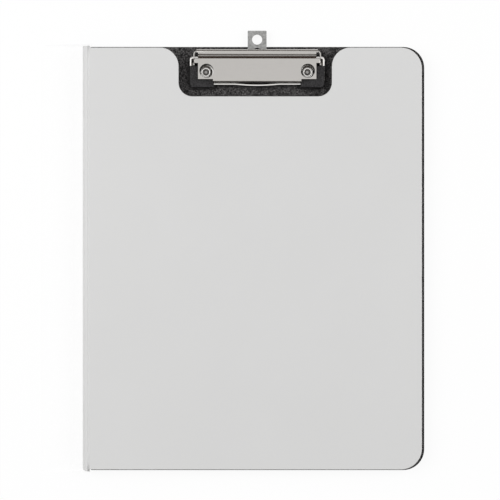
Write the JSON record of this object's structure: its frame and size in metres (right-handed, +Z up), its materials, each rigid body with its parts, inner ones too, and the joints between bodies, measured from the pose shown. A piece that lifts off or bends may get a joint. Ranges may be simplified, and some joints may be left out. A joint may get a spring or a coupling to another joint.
{
  "type": "clipboard folder",
  "caption": "Flat clipboard folder with a rounded front cover, a notch round a low wire clip with rubber corner grips, and a slide-out hang tab.",
  "frame": {"origin": "centre of the closed folder's width and of the board's height, on the underside of the back cover", "axes": "+Z up out of the front cover when the folder lies closed, +Y towards the clip, +X towards the opening edge, away from the spine"},
  "size_m": [0.2532, 0.3264, 0.0116],
  "materials": {
    "grey_sheet": "smooth matte light grey sheet",
    "board_core": "raw greyboard",
    "black_covering": "fine grained black covering",
    "plated_steel": "satin bright nickel plate",
    "plain_steel": "matte zinc plate",
    "black_rubber": "matte moulded rubber"
  },
  "bodies": {
    "back": {"back_sheet": "grey_sheet", "back_board_core": "board_core", "back_board_wrap": "black_covering", "clip_base_plate": "plated_steel", "clip_eyelets": "plated_steel", "eyelet_washers": "plain_steel"},
    "spine": {"spine_channel": "grey_sheet", "spine_lining": "black_covering", "back_hinge_film": "grey_sheet"},
    "front_cover": {"front_sheet": "grey_sheet", "front_core": "board_core", "front_lining": "black_covering", "document_pocket": "black_covering", "front_hinge_film": "grey_sheet"},
    "jaw": {"clip_lever_plate": "plated_steel", "jaw_wire": "plated_steel", "corner_grip_left": "black_rubber", "corner_grip_right": "black_rubber", "torsion_spring_left": "plain_steel", "torsion_spring_right": "plain_steel"},
    "tab": {"hang_tab": "plain_steel"}
  },
  "joints": [
    {"name": "spine_fold", "type": "hinge", "parent": "back", "child": "spine", "pos_m": [-0.122, 0, -0.00005], "axis": [0, -1, 0], "range_deg": [0, 90], "deforming": ["back_hinge_film"]},
    {"name": "cover_fold", "type": "hinge", "parent": "spine", "child": "front_cover", "pos_m": [-0.122, 0, 0.01105], "axis": [0, -1, 0], "range_deg": [0, 90], "deforming": ["front_hinge_film"]},
    {"name": "jaw_open", "type": "hinge", "parent": "back", "child": "jaw", "pos_m": [0.0025, 0.1485, 0.0072], "axis": [-1, 0, 0], "range_deg": [0, 25], "stiffness_Nm_per_rad": 0.35, "springref_deg": -45.84, "deforming": ["torsion_spring_left", "torsion_spring_right"]},
    {"name": "tab_slide", "type": "slide", "parent": "back", "child": "tab", "axis": [0, 1, 0], "range_m": [-0.0105, 0]}
  ]
}
